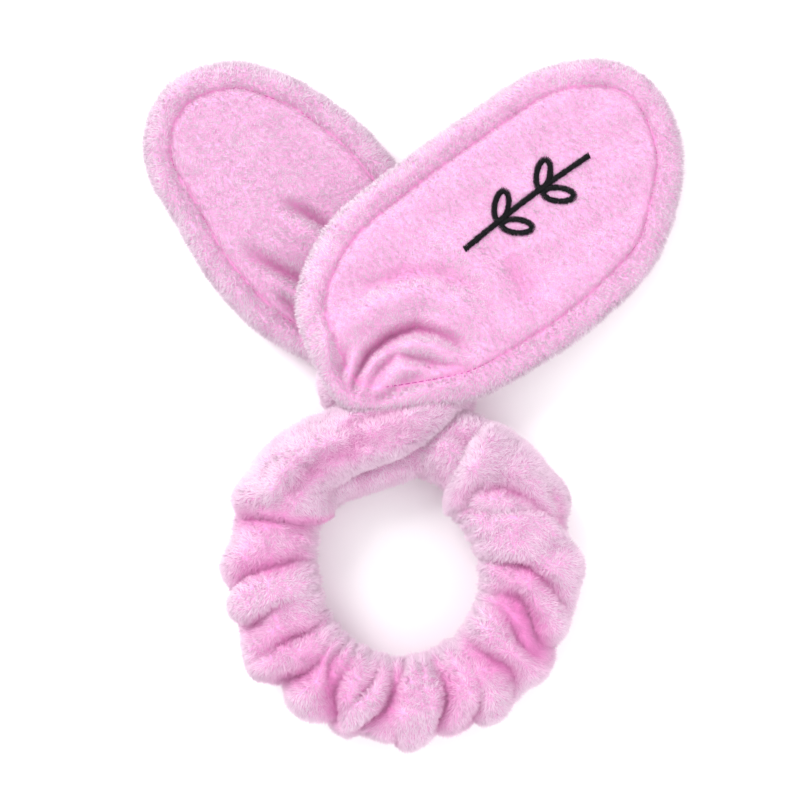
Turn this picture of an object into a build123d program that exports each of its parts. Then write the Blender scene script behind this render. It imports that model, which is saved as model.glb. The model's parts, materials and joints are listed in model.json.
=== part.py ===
"""Plush spa headband with two wired bunny ears, twisted together over a gathered elastic band.

Millimetres, +Z up. The headband lies flat on a table: the head opening runs along Z, the knot and the
ears point to +Y, and the origin is at the bottom centre of the whole object's box.
Soft pieces are plain closed solids of the true size. Where a joint crosses a fabric piece, the piece is
two nodes, one on each side of the fold.
"""
import os
from math import cos, radians, sin, sqrt, tan

from build123d import *

# --- The gathered band -------------------------------------------------------------------------------
BAND_CENTRE = Vector(-6.5, -78.0)   # middle of the head opening
OPENING_RADIUS = 37.0               # head opening with the elastic relaxed
BAND_WIDTH = 42.0                   # radial width of the gathered tube
BAND_HEIGHT = 48.0                  # how tall the tube stands on the table
BAND_WALL = 6.0                     # fleece, its pile and the depth of the gathers
BAND_FLATTENED = 1.0                # how much of the tube's round underside its weight flattens
NAPE_CUT_Y = -100.0                 # the nape half of the band is everything below this line
ELASTIC_WIDTH = 20.0
ELASTIC_THICKNESS = 1.6
TACK_LENGTH = 4.0                   # zigzag bar tack that holds each end of the elastic
TACK_MARGIN = 1.2                   # how far a bar tack stands out over the elastic
NECK_SEAM_WIDTH = 1.2               # stitched seam at each end of the band cover

# --- The knot ----------------------------------------------------------------------------------------
NECK_RADIUS = 9.6                   # each bunched neck where it passes through the twist
NECK_GAP = 2.1                      # between the two necks where they cross
KNOT_CENTRE = Vector(-6.0, -14.0)   # where the necks cross, seen from above
KNOT_AXIS_Y = -32.0                 # line on which the knot and ears rise from the band
KNOT_AXIS_Z = 24.0
KNOT_CLEAR_RADIUS = 21.0            # the band's fabric ends this far from that line
# Turning points of each neck: sideways and upwards from the knot's centre in neck radii, and its height
# from 0, the lower neck's level at the crossing, to 1, the upper neck's level.
LEFT_NECK_TURNS = [
    (-4.4, -1.9, 0.84), (-2.1, -0.6, 1.05), (0.4, 0.1, 1.0),
    (2.6, 1.3, 0.47), (2.9, 3.0, 0.09), (1.45, 4.4, 0.02),
]
RIGHT_NECK_TURNS = [
    (4.4, -2.3, 0.39), (2.1, -1.05, 0.06), (-0.4, 0.0, 0.0),
    (-2.9, 1.05, 0.11), (-4.3, 2.3, 0.58), (-3.75, 3.2, 1.12),
]
NECK_REACH = 24.0                   # how far a neck runs on under its ear's base end
NECK_BEND_SHARE = 0.45              # share of a run that the arc at its end may use up

# --- The ears ----------------------------------------------------------------------------------------
EAR_HALF_WIDTH = 53.0
EAR_THICKNESS = 14.0
EAR_EDGE_RADIUS = 5.5
EAR_FABRIC = 3.5                    # fleece and its pile
FOLD_FROM_BASE = 71.0               # fold line of each ear, measured from its base end
TOPSTITCH_INSET = 12.0
TOPSTITCH_WIDTH = 1.0
TOPSTITCH_DEPTH = 0.6
WIRE_INSET = 8.0
WIRE_DIAMETER = 2.2
SLEEVE_DIAMETER = 4.6               # crimp sleeve that closes the wire loop
SLEEVE_LENGTH = 14.0
WADDING_INSET = 14.0
WADDING_THICKNESS = 5.4
RIGHT_EAR_LENGTH = 195.0
LEFT_EAR_LENGTH = 146.0
EAR_TIP_ROUND = 47.0                # length of the rounded tip
EAR_BASE_ROUND = 46.0               # length of the rounded base
RIGHT_EAR_BASE = Vector(-41.0, 11.4)   # seen from above
RIGHT_EAR_HEADING = 37.5            # degrees from +X
RIGHT_EAR_DIP = 9.0                 # degrees that the upper ear slopes down towards its tip
LEFT_EAR_BASE = Vector(-8.0, 33.2)
LEFT_EAR_HEADING = 131.0
LEFT_EAR_DIP = 0.0

# --- The embroidered sprig on the right ear ----------------------------------------------------------
SPRIG_FOOT = 15.0                   # from the fold to the foot of the stem
SPRIG_HEAD = 37.0                   # from the end of the stem to the ear's tip
SPRIG_OFFSET = 7.0                  # towards the ear's left edge
SATIN_WIDTH = 2.8
SATIN_HEIGHT = 0.9
LEAF_LENGTH = 17.0
LEAF_WIDTH = 9.0
LEAF_ANGLE = 42.0
LEAF_PAIRS = 2
BACKING_THICKNESS = 0.4
BACKING_MARGIN = 8.0                # past each end of the stem
BACKING_WIDTH = 40.0
BACKING_CORNER = 4.0

FIT_GAP = 0.3                       # between pieces that move past each other
LAYER_GAP = 0.1                     # between layers that lie on each other
FAR = 1000.0                        # larger than the whole object


def half_space(point, outward):
    """A huge box whose flat face passes through point, and which lies on the outward side of it."""
    return Plane(origin=point, z_dir=outward) * Box(
        FAR, FAR, FAR, align=(Align.CENTER, Align.CENTER, Align.MIN)
    )


def biggest(shape):
    """The largest solid of a shape, which drops any crumb that a cut leaves."""
    return max(shape.solids(), key=lambda solid: solid.volume)


# --- Band --------------------------------------------------------------------------------------------
BAND_RADIUS = OPENING_RADIUS + BAND_WIDTH / 2
BAND_MIDDLE_Z = BAND_HEIGHT / 2 - BAND_FLATTENED


def tube_section(inset):
    """Section of the gathered tube beside the opening, seen from the front."""
    return Pos(BAND_RADIUS, BAND_MIDDLE_Z) * Ellipse(BAND_WIDTH / 2 - inset, BAND_HEIGHT / 2 - inset)


def between(shape, low_y, high_y):
    """The left and the right solid of a ring-shaped piece between two lines across the opening."""
    height = high_y - low_y
    slab = Pos(0, low_y + height / 2, 0) * Box(FAR, height, FAR)
    return (shape & slab).solids().sort_by(Axis.X)


def band_end_y():
    """Where the band's fabric stops, clear of everything that turns with the knot."""
    return KNOT_AXIS_Y - KNOT_CLEAR_RADIUS


def band_cover():
    """The fleece tube, flattened a little where it rests on the table."""
    above_table = Pos(BAND_RADIUS, FAR / 2) * Rectangle(FAR, FAR)
    section = (tube_section(0) & above_table) - tube_section(BAND_WALL)
    ring = revolve(Plane.XZ * section, axis=Axis.Z)
    return Pos(BAND_CENTRE.X, BAND_CENTRE.Y, 0) * ring


def elastic_strip(extra):
    """The elastic as an upright strip bent round the opening, thickened by extra on every side."""
    height = ELASTIC_WIDTH + 2 * extra
    outer = Cylinder(BAND_RADIUS + ELASTIC_THICKNESS / 2 + extra, height)
    ring = outer - Cylinder(BAND_RADIUS - ELASTIC_THICKNESS / 2 - extra, height)
    return Pos(BAND_CENTRE.X, BAND_CENTRE.Y, BAND_MIDDLE_Z) * ring


def band_elastic():
    """Elastic from bar tack to bar tack, round the nape."""
    return elastic_strip(0) & half_space((0, band_end_y(), 0), (0, -1, 0))


def elastic_tacks():
    """The bar tacks stitched through the two ends of the elastic."""
    sleeve = elastic_strip(TACK_MARGIN) - elastic_strip(0)
    return between(sleeve, band_end_y() - TACK_LENGTH, band_end_y())


# --- Levels ------------------------------------------------------------------------------------------
LOWER_NECK_Z = NECK_RADIUS + LAYER_GAP
UPPER_NECK_Z = LOWER_NECK_Z + 2 * NECK_RADIUS + NECK_GAP
LOWER_EAR_Z = EAR_THICKNESS / 2
UPPER_EAR_Z = UPPER_NECK_Z + EAR_THICKNESS / 2


# --- Ears --------------------------------------------------------------------------------------------
def ear_frame(base, height, heading, dip):
    """The ear's own frame: +X from its base end to its tip, +Z out of its front."""
    along = Vector(
        cos(radians(heading)) * cos(radians(dip)),
        sin(radians(heading)) * cos(radians(dip)),
        -sin(radians(dip)),
    )
    across = Vector(-sin(radians(heading)), cos(radians(heading)), 0)
    return Plane(origin=base + Vector(0, 0, height), x_dir=along, z_dir=along.cross(across))


def ear_frames():
    """The frames of the upper, right ear and of the lower, left ear."""
    right = ear_frame(RIGHT_EAR_BASE, UPPER_EAR_Z, RIGHT_EAR_HEADING, RIGHT_EAR_DIP)
    left = ear_frame(LEFT_EAR_BASE, LOWER_EAR_Z, LEFT_EAR_HEADING, LEFT_EAR_DIP)
    return {"right": right, "left": left}


def ear_outline(length, inset):
    """Flat outline of an ear: two half ellipses joined by straight sides."""
    half_width = EAR_HALF_WIDTH - inset
    base_round = EAR_BASE_ROUND - inset
    tip_round = EAR_TIP_ROUND - inset
    straight = length - EAR_BASE_ROUND - EAR_TIP_ROUND
    middle = Pos(EAR_BASE_ROUND + straight / 2, 0) * Rectangle(straight, 2 * half_width)
    base_end = Pos(EAR_BASE_ROUND, 0) * Ellipse(base_round, half_width)
    tip_end = Pos(length - EAR_TIP_ROUND, 0) * Ellipse(tip_round, half_width)
    return middle + base_end + tip_end


def outline_ring(length, inset, width):
    """A flat band of the given width that follows the ear's edge at an inset."""
    return ear_outline(length, inset - width / 2) - ear_outline(length, inset + width / 2)


def stitch_grooves(length):
    """Front and back runs of the topstitching."""
    flat = outline_ring(length, TOPSTITCH_INSET, TOPSTITCH_WIDTH)
    front = Pos(0, 0, EAR_THICKNESS / 2 - TOPSTITCH_DEPTH) * extrude(flat, TOPSTITCH_DEPTH)
    back = Pos(0, 0, -EAR_THICKNESS / 2) * extrude(flat, TOPSTITCH_DEPTH)
    return front, back


def ear_panel(length):
    """The front panel: a shallow tray whose rounded rim meets the back panel at the edge seam."""
    depth = EAR_THICKNESS / 2
    tray = extrude(ear_outline(length, 0), depth)
    tray = fillet(tray.faces().sort_by(Axis.Z)[-1].edges(), EAR_EDGE_RADIUS)
    hollow = extrude(ear_outline(length, EAR_FABRIC), depth - EAR_FABRIC)
    return tray - hollow


def wire_loop(length):
    """The bendable wire in the channel between the topstitching and the edge."""
    path = ear_outline(length, WIRE_INSET).face().outer_wire()
    section = Plane(origin=path @ 0, z_dir=path % 0) * Circle(WIRE_DIAMETER / 2)
    return sweep(section, path=path)


def wire_sleeve(length, wire):
    """Crimp sleeve over the two ends of the wire, at the ear's base."""
    sleeve = Pos(WIRE_INSET, 0, 0) * Rot(90, 0, 0) * Cylinder(SLEEVE_DIAMETER / 2, SLEEVE_LENGTH)
    return sleeve - wire


def base_part(shape):
    """What stays below the ear's fold."""
    edge = FOLD_FROM_BASE - EAR_THICKNESS / 2 - FIT_GAP
    return shape & half_space((edge, 0, 0), (-1, 0, 0))


def tip_part(shape):
    """What turns about the fold: everything above it, and a half round that fills the fold."""
    above = half_space((FOLD_FROM_BASE, 0, 0), (1, 0, 0))
    roll = Pos(FOLD_FROM_BASE, 0, 0) * Rot(90, 0, 0) * Cylinder(EAR_THICKNESS / 2, FAR)
    return shape & (above + roll)


def ear_pieces(side, length):
    """All the pieces of one ear in the ear's own frame."""
    front_stitch, back_stitch = stitch_grooves(length)
    front = ear_panel(length) - front_stitch
    back = Rot(180, 0, 0) * ear_panel(length) - back_stitch
    wadding = Pos(0, 0, -WADDING_THICKNESS / 2) * extrude(
        ear_outline(length, WADDING_INSET), WADDING_THICKNESS
    )
    wire = wire_loop(length)
    stitches = Compound(children=[front_stitch.solid(), back_stitch.solid()])
    pieces = {}
    for name, shape in (("front", front), ("back", back), ("wadding", wadding)):
        pieces[f"{side}_ear_{name}_base"] = base_part(shape)
        pieces[f"{side}_ear_{name}_tip"] = tip_part(shape)
    for part_name, cut in (("base", base_part), ("tip", tip_part)):
        runs = [s for run in stitches.solids() for s in cut(run).solids()]
        pieces[f"{side}_ear_topstitch_{part_name}"] = Compound(children=runs)
    pieces[f"{side}_ear_wire"] = wire
    pieces[f"{side}_ear_wire_sleeve"] = wire_sleeve(length, wire)
    return pieces


SPRIG_LENGTH = RIGHT_EAR_LENGTH - FOLD_FROM_BASE - SPRIG_FOOT - SPRIG_HEAD


def sprig_outline():
    """A plain leafy sprig: a stem and almond-shaped leaf outlines, all in one stitch width."""
    stem = Rectangle(SPRIG_LENGTH, SATIN_WIDTH)
    leaves = Sketch()
    reach = LEAF_LENGTH / 2
    for pair in range(LEAF_PAIRS):
        foot = SPRIG_LENGTH * (pair + 0.8) / (LEAF_PAIRS + 1) - SPRIG_LENGTH / 2
        for sign in (-1, 1):
            leaf = Ellipse(reach, LEAF_WIDTH / 2)
            leaf -= Ellipse(reach - SATIN_WIDTH, LEAF_WIDTH / 2 - SATIN_WIDTH)
            leaves += Pos(foot, 0) * Rot(0, 0, sign * LEAF_ANGLE) * Pos(reach, 0) * leaf
    return stem + leaves


def embroidery():
    """Satin-stitched sprig on the front of the right ear, and the backing it is sewn through."""
    place = Pos(FOLD_FROM_BASE + SPRIG_FOOT + SPRIG_LENGTH / 2, SPRIG_OFFSET, 0)
    front_face = EAR_THICKNESS / 2
    motif = place * Pos(0, 0, front_face) * extrude(sprig_outline(), SATIN_HEIGHT)
    backing = place * Pos(0, 0, WADDING_THICKNESS / 2 + LAYER_GAP) * extrude(
        RectangleRounded(SPRIG_LENGTH + 2 * BACKING_MARGIN, BACKING_WIDTH, BACKING_CORNER),
        BACKING_THICKNESS,
    )
    return {"right_ear_embroidery": motif, "right_ear_embroidery_backing": backing}


def ear_envelope(length):
    """The ear as one filled block, to trim what meets it."""
    return Pos(0, 0, -EAR_THICKNESS / 2) * extrude(ear_outline(length, 0), EAR_THICKNESS)


# --- Necks -------------------------------------------------------------------------------------------
def neck_route(sign, turns, ear):
    """From the end of the band on one side (-1 left, 1 right), round the knot, to under an ear."""
    start_y = band_end_y() + LAYER_GAP
    start_x = BAND_CENTRE.X + sign * sqrt(BAND_RADIUS**2 - (start_y - BAND_CENTRE.Y) ** 2)
    points = [Vector(start_x, start_y, KNOT_AXIS_Z)]
    for across, up, level in turns:
        height = LOWER_NECK_Z + level * (UPPER_NECK_Z - LOWER_NECK_Z)
        points.append(KNOT_CENTRE + Vector(across * NECK_RADIUS, up * NECK_RADIUS, height))
    end = ear.origin + ear.x_dir * NECK_REACH
    points.append(Vector(end.X, end.Y, max(end.Z, LOWER_NECK_Z)))
    return points


def neck_strand(points):
    """One bunched neck: a round strand along straight runs joined by tangent arcs."""
    radii = []
    for before, corner, after in zip(points, points[1:], points[2:]):
        turn = (corner - before).get_angle(after - corner)
        run = min((corner - before).length, (after - corner).length)
        radii.append(NECK_BEND_SHARE * run / tan(radians(turn / 2)))
    print("neck arc radii", [round(r, 1) for r in radii])
    path = FilletPolyline(*points, radius=radii)
    section = Plane(origin=path @ 0, z_dir=path % 0) * Circle(NECK_RADIUS)
    return sweep(section, path=path)


def neck(points, blocks):
    """A neck cut to the reach of the knot's turning line and trimmed where it meets the ears."""
    axis_point = (0, KNOT_AXIS_Y, KNOT_AXIS_Z)
    turning = Pos(*axis_point) * Rot(0, 90, 0) * Cylinder(KNOT_CLEAR_RADIUS - FIT_GAP, FAR)
    reach = half_space(axis_point, (0, 1, 0)) + turning
    strand = neck_strand(points) & reach
    for block in blocks:
        strand -= block
    return biggest(strand)


# --- Assembly ----------------------------------------------------------------------------------------
def headband():
    """Every node by name, in the lying frame."""
    cover = band_cover()
    seam_start = band_end_y() - NECK_SEAM_WIDTH
    left_side, right_side = between(cover, NAPE_CUT_Y + FIT_GAP, seam_start)
    left_seam, right_seam = between(cover, seam_start, band_end_y())
    left_tack, right_tack = elastic_tacks()
    nodes = {
        "band_cover_nape": cover & half_space((0, NAPE_CUT_Y, 0), (0, -1, 0)),
        "band_cover_left": left_side,
        "band_cover_right": right_side,
        "left_neck_seam": left_seam,
        "right_neck_seam": right_seam,
        "band_elastic": band_elastic(),
        "elastic_left_tack": left_tack,
        "elastic_right_tack": right_tack,
    }
    frames = ear_frames()
    lengths = {"right": RIGHT_EAR_LENGTH, "left": LEFT_EAR_LENGTH}
    blocks = []
    for side, length in lengths.items():
        place = frames[side].location
        pieces = ear_pieces(side, length)
        if side == "right":
            pieces |= embroidery()
        nodes |= {name: place * shape for name, shape in pieces.items()}
        blocks.append(place * ear_envelope(length))
    # Each neck crosses to the other side, so the band's left end carries the left ear round the knot.
    nodes["left_neck"] = neck(neck_route(-1, LEFT_NECK_TURNS, frames["left"]), blocks)
    nodes["right_neck"] = neck(neck_route(1, RIGHT_NECK_TURNS, frames["right"]), blocks)
    return nodes


def whole_box(nodes):
    """Lowest and highest corner of all the nodes together."""
    boxes = [shape.bounding_box() for shape in nodes.values()]
    low = Vector(*(min(getattr(b.min, c) for b in boxes) for c in "XYZ"))
    high = Vector(*(max(getattr(b.max, c) for b in boxes) for c in "XYZ"))
    return low, high


def write_step(name, shape):
    """One STEP file for one node, whose solids stay separate."""
    solids = shape.solids()
    whole = solids[0] if len(solids) == 1 else Compound(children=solids)
    export_step(whole, f"parts/{name}.step")


def main():
    os.makedirs("parts", exist_ok=True)
    nodes = headband()
    low, high = whole_box(nodes)
    shift = Vector(-(low.X + high.X) / 2, -(low.Y + high.Y) / 2, -low.Z)
    print("size", high - low, "shift", shift)
    for name, shape in nodes.items():
        write_step(name, Pos(shift) * shape)
    print("knot axis", Vector(BAND_CENTRE.X, KNOT_AXIS_Y, KNOT_AXIS_Z) + shift)
    for side, frame in ear_frames().items():
        fold = frame.origin + frame.x_dir * FOLD_FROM_BASE + shift
        print(side, "fold", fold, "axis", -frame.y_dir)


main()
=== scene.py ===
# %% [markdown]
# # A plush spa headband with bunny ears
# The headband is sewn from coral fleece: a gathered tube round an elastic, and two wired ears that are
# twisted round each other above it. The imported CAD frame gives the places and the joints, and this lesson
# makes the fabric, the pile, the stitching and the embroidery that the frame can't show.

# %% Load the frame
import json

import bmesh
import bpy
import numpy as np
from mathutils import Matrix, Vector
from mathutils.bvhtree import BVHTree
from mathutils.kdtree import KDTree


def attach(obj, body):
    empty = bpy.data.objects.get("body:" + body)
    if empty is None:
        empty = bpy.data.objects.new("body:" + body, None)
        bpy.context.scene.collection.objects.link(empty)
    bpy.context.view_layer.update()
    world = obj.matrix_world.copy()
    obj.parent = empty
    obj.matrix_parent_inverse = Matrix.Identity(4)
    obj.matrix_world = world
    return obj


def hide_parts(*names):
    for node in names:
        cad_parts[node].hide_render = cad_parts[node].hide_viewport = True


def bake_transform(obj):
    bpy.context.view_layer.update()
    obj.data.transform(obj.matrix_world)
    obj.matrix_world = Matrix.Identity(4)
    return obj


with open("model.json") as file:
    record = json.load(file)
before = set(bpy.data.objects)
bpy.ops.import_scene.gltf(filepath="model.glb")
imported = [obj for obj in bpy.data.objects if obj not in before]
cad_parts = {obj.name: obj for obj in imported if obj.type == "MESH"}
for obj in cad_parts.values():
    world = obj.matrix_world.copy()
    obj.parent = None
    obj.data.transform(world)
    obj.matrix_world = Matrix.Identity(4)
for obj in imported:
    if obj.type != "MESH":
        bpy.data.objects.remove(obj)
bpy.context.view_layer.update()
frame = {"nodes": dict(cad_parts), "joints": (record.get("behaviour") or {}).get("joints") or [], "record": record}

MM = 0.001

# %% [markdown]
# ## The landmarks
# Everything is placed from a few landmarks of the frame: the middle of the head opening, and the place and
# the direction of each ear's fold. Lengths below are in millimetres, because that is how a sewing
# pattern is drawn, and each finished mesh is scaled to metres at the end.

# %% Landmarks
mounts = {m["name"]: Vector(m["pos_m"]) / MM for m in frame["record"]["mounts"]}
joints = {j["name"]: j for j in frame["joints"]}
OPENING = mounts["head"]
FOLDS = {side: Vector(joints[f"{side}_ear_bend"]["pos_m"]) / MM for side in ("right", "left")}
ACROSS = {side: -Vector(joints[f"{side}_ear_bend"]["axis"]) for side in ("right", "left")}
ALONG = {side: a.cross(Vector((0, 0, 1))) for side, a in ACROSS.items()}
BAND_RADIUS = 58.0                  # from the middle of the opening to the middle of the tube
print("opening", OPENING, "folds", FOLDS)

# %% [markdown]
# ## Camera, light and floor
# The headband is seen from straight above. A long lens flattens the picture as a product shot does. Soft
# light comes from a panel at the upper left and a wider, weaker one at the lower right, so that the folds
# read, and a bright surrounding keeps the shadows pale.

# %% Camera
VIEW_WIDTH = 360.0
VIEW_CENTRE = Vector((-6.9, 1.3, 24.0))
LENS = 85.0
SENSOR = 36.0

camera_data = bpy.data.cameras.new("camera")
camera_data.lens = LENS
camera_data.sensor_width = SENSOR
camera = bpy.data.objects.new("camera", camera_data)
camera.location = (VIEW_CENTRE + Vector((0, 0, VIEW_WIDTH * LENS / SENSOR))) * MM
bpy.context.collection.objects.link(camera)
bpy.context.scene.camera = camera


def panel_light(name, place, size, watts):
    """A square soft box at place, in metres, aimed at the middle of the headband."""
    data = bpy.data.lights.new(name, "AREA")
    data.size = size
    data.energy = watts
    lamp = bpy.data.objects.new(name, data)
    lamp.location = place
    aim = Vector((0, 0, 0)) - Vector(place)
    lamp.rotation_euler = aim.to_track_quat("-Z", "Y").to_euler()
    bpy.context.collection.objects.link(lamp)
    return lamp


panel_light("key_panel", (-0.7, 0.75, 1.0), 0.7, 13.0)
panel_light("fill_panel", (0.9, -0.6, 1.1), 1.2, 4.0)

world = bpy.data.worlds.new("studio")
world.use_nodes = True
world.node_tree.nodes["Background"].inputs["Color"].default_value = (1.0, 1.0, 1.0, 1.0)
world.node_tree.nodes["Background"].inputs["Strength"].default_value = 1.22
bpy.context.scene.world = world
bpy.context.scene.view_settings.view_transform = "Standard"

# %% [markdown]
# The floor is one plain pale square at the height of the table. The skins stay half a millimetre above it.

# %% Floor
FLOOR_HALF = 2.5

bm = bmesh.new()
bmesh.ops.create_grid(bm, x_segments=1, y_segments=1, size=FLOOR_HALF)
floor_mesh = bpy.data.meshes.new("floor")
bm.to_mesh(floor_mesh)
bm.free()
floor = bpy.data.objects.new("floor", floor_mesh)
bpy.context.collection.objects.link(floor)
floor_paint = bpy.data.materials.new("floor_paint")
floor_paint.use_nodes = True
floor_shader = floor_paint.node_tree.nodes["Principled BSDF"]
floor_shader.inputs["Base Color"].default_value = (0.96, 0.96, 0.96, 1)
floor_shader.inputs["Roughness"].default_value = 0.9
floor_mesh.materials.append(floor_paint)

# %% [markdown]
# ## A soft closed form
# Every stuffed piece here, whether an ear or a neck of the twist, is a closed skin. A UV sphere is the
# handiest start: its rows run from pole to pole and its columns run round. Each vertex then knows how far
# down it is and how far round, and a shaping function moves it to its place in the fabric. The skin also
# keeps how far inside its sewn edge each point is, because the pile leaves the stitching free, and how much
# painted shade it gets, which darkens its colour in creases, in the stitched groove and at a neck's start.
# The sphere's faces come in an order that differs from run to run, so they are sorted first, and the pile
# then always lands the same.


# %% Soft form helper
def finished(name, bm, material=None):
    """A smooth object made from a bmesh whose places are in millimetres."""
    bmesh.ops.scale(bm, vec=(MM, MM, MM), verts=bm.verts)
    bmesh.ops.recalc_face_normals(bm, faces=bm.faces)
    mesh = bpy.data.meshes.new(name)
    bm.to_mesh(mesh)
    bm.free()
    mesh.shade_smooth()
    if material:
        mesh.materials.append(material)
    piece = bpy.data.objects.new(name, mesh)
    bpy.context.collection.objects.link(piece)
    return piece


def in_order(bm):
    """Sorts a bmesh's edges and faces by their vertices, so that each run makes the same mesh."""
    bm.verts.index_update()
    for sequence in (bm.edges, bm.faces):
        in_turn = sorted(sequence, key=lambda item: sorted(v.index for v in item.verts))
        for place, item in enumerate(in_turn):
            item.index = place
        sequence.sort()
        sequence.index_update()


def soft_form(rows, columns, shape):
    """A closed skin as a bmesh. shape(down, around) gives places, distances inside the edge and painted shade."""
    bm = bmesh.new()
    inside = bm.verts.layers.float.new("inset")
    in_fold = bm.verts.layers.float.new("valley")
    bmesh.ops.create_uvsphere(bm, u_segments=columns, v_segments=rows, radius=1)
    in_order(bm)
    co = np.array([v.co for v in bm.verts])
    down = np.arccos(np.clip(co[:, 2], -1, 1)) / np.pi
    around = np.arctan2(co[:, 1], co[:, 0])
    places, inset, valley = shape(down, around)
    for vert, place, depth, shade in zip(bm.verts, places, inset, valley):
        vert.co = place
        vert[inside] = depth
        vert[in_fold] = shade
    return bm


def smooth_curve(points, t, closed=False):
    """Catmull-Rom curve through given points, at t in 0..1."""
    points = np.array(points, float)
    count = len(points)
    at = (t % 1.0) * count if closed else np.clip(t, 0, 1) * (count - 1)
    i = np.floor(at).astype(int)
    if not closed:
        i = np.minimum(i, count - 2)

    def pick(step):
        return points[(i + step) % count] if closed else points[np.clip(i + step, 0, count - 1)]

    f = (at - i)[:, None]
    a, b, c, d = pick(-1), pick(0), pick(1), pick(2)
    return 0.5 * (2 * b + (c - a) * f + (2 * a - 5 * b + 4 * c - d) * f**2 + (3 * b - a - 3 * c + d) * f**3)


def ramp(value, low, high):
    """0 below low, 1 above high, smooth between."""
    t = np.clip((value - low) / (high - low), 0, 1)
    return t * t * (3 - 2 * t)


def stroke(x, y, points, width):
    """How strongly a sculpting stroke, drawn from above through points, acts at x, y: 1 on it, 0 far off."""
    near = np.full(len(x), 1e9)
    fade = np.ones(len(x))
    points = np.array(points, float)
    steps = len(points) - 1
    for i in range(steps):
        a, d = points[i], points[i + 1] - points[i]
        t = np.clip(((x - a[0]) * d[0] + (y - a[1]) * d[1]) / (d @ d), 0, 1)
        gap = np.hypot(x - a[0] - t * d[0], y - a[1] - t * d[1])
        closer = gap < near
        near = np.where(closer, gap, near)
        fade = np.where(closer, np.sin(np.pi * (0.03 + 0.94 * (i + t) / steps)) ** 0.6, fade)
    return fade * np.exp(-((near / width) ** 2))


def sculpted(x, y, folds):
    """The sum of sculpting strokes, each (points, lift in mm, half width in mm)."""
    return sum(lift * stroke(x, y, points, width) for points, lift, width in folds)


def ripple(places, wavelength, seed):
    """A soft uneven pattern between about -1 and 1, with the given wavelength in mm."""
    rng = np.random.default_rng(seed)
    total = np.zeros(len(places))
    for _ in range(6):
        way = rng.normal(size=3)
        way *= 2 * np.pi / wavelength * rng.uniform(0.6, 1.5) / np.linalg.norm(way)
        total += np.sin(places @ way + rng.uniform(0, 2 * np.pi))
    return total / 2.4


# %% [markdown]
# ## Fleece, thread and the hidden parts: the materials
# Coral fleece has two layers to the eye. Between the tufts the knitted ground shows deep pink, kept darker
# than the tufts as painted shade for the ground down among them. The tufts go from that pink at the root to
# pale pink at the tip, a ramp that paints shade at the root, and each tuft differs a little. Both layers read
# Object coordinates for their patches, and the tufts carry their own root-to-tip value as an attribute.
# In creases both are mixed towards a painted crease shade, and both give off a faint painted glow.


# %% Material helpers
SHEEN_TINT = (1.0, 0.80, 0.93, 1)
BUMP_DEPTH = 0.0002                 # in metres


def new_material(name, roughness, sheen=0.0, specular=0.3):
    """A node material, and its shader and node tree."""
    material = bpy.data.materials.new(name)
    material.use_nodes = True
    shader = material.node_tree.nodes["Principled BSDF"]
    shader.inputs["Roughness"].default_value = roughness
    shader.inputs["Specular IOR Level"].default_value = specular
    shader.inputs["Sheen Weight"].default_value = sheen
    shader.inputs["Sheen Roughness"].default_value = 0.5
    shader.inputs["Sheen Tint"].default_value = SHEEN_TINT
    return material, shader, material.node_tree


def colour_ramp(tree, stops):
    """A colour ramp node with stops of (position, linear colour)."""
    node = tree.nodes.new("ShaderNodeValToRGB")
    elements = node.color_ramp.elements
    elements[0].position, elements[0].color = stops[0][0], (*stops[0][1], 1)
    elements[1].position, elements[1].color = stops[-1][0], (*stops[-1][1], 1)
    for position, colour in stops[1:-1]:
        elements.new(position).color = (*colour, 1)
    return node


def noise(tree, scale, detail=3.0):
    """A noise node on the piece's own Object coordinates, which are in metres."""
    place = tree.nodes.new("ShaderNodeTexCoord")
    node = tree.nodes.new("ShaderNodeTexNoise")
    node.inputs["Scale"].default_value = scale
    node.inputs["Detail"].default_value = detail
    tree.links.new(place.outputs["Object"], node.inputs["Vector"])
    return node


def bumped(tree, shader, source):
    """Adds a fine bump from a node's first output."""
    bump = tree.nodes.new("ShaderNodeBump")
    bump.inputs["Strength"].default_value = 0.5
    bump.inputs["Distance"].default_value = BUMP_DEPTH
    tree.links.new(source.outputs[0], bump.inputs["Height"])
    tree.links.new(bump.outputs["Normal"], shader.inputs["Normal"])


def patterned(name, dark, light, scale, roughness, specular=0.3):
    """A finish that varies between two colours in patches of about 1/scale metres, with a fine bump."""
    material, shader, tree = new_material(name, roughness, specular=specular)
    patches = noise(tree, scale)
    tones = colour_ramp(tree, [(0.3, dark), (0.7, light)])
    tree.links.new(patches.outputs["Fac"], tones.inputs["Fac"])
    tree.links.new(tones.outputs["Color"], shader.inputs["Base Color"])
    bumped(tree, shader, noise(tree, scale * 3))
    return material


# %% Fleece materials
# The ground colours are darker than the tufts: painted shade for the ground down among the tufts.
GROUND_DARK = (0.68, 0.29, 0.53)
GROUND_LIGHT = (0.74, 0.40, 0.63)
TUFT_ROOT = (0.69, 0.42, 0.61)
TUFT_MIDDLE = (0.77, 0.62, 0.74)
TUFT_TIP = (0.94, 0.80, 0.89)
# painted shade: the deep pink that creases, the stitched groove and a neck's start are mixed towards
PAINTED_CREASE_SHADE = (0.76, 0.20, 0.52)
GLOW_COLOUR = (0.85, 0.38, 0.65)      # painted glow: emission that stands in for light scattered through the pile
GLOW = 0.12


def with_painted_shade_and_glow(tree, source, shader):
    """Mixes a colour towards the painted crease shade by the piece's own painted shade value, and sets the
    shader's painted glow.
    """
    in_fold = tree.nodes.new("ShaderNodeAttribute")
    in_fold.attribute_name = "valley"
    mix = tree.nodes.new("ShaderNodeMix")
    mix.data_type = "RGBA"
    mix.inputs["B"].default_value = (*PAINTED_CREASE_SHADE, 1)
    tree.links.new(in_fold.outputs["Fac"], mix.inputs["Factor"])
    tree.links.new(source, mix.inputs["A"])
    shader.inputs["Emission Color"].default_value = (*GLOW_COLOUR, 1)
    shader.inputs["Emission Strength"].default_value = GLOW
    return mix.outputs["Result"]


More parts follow.
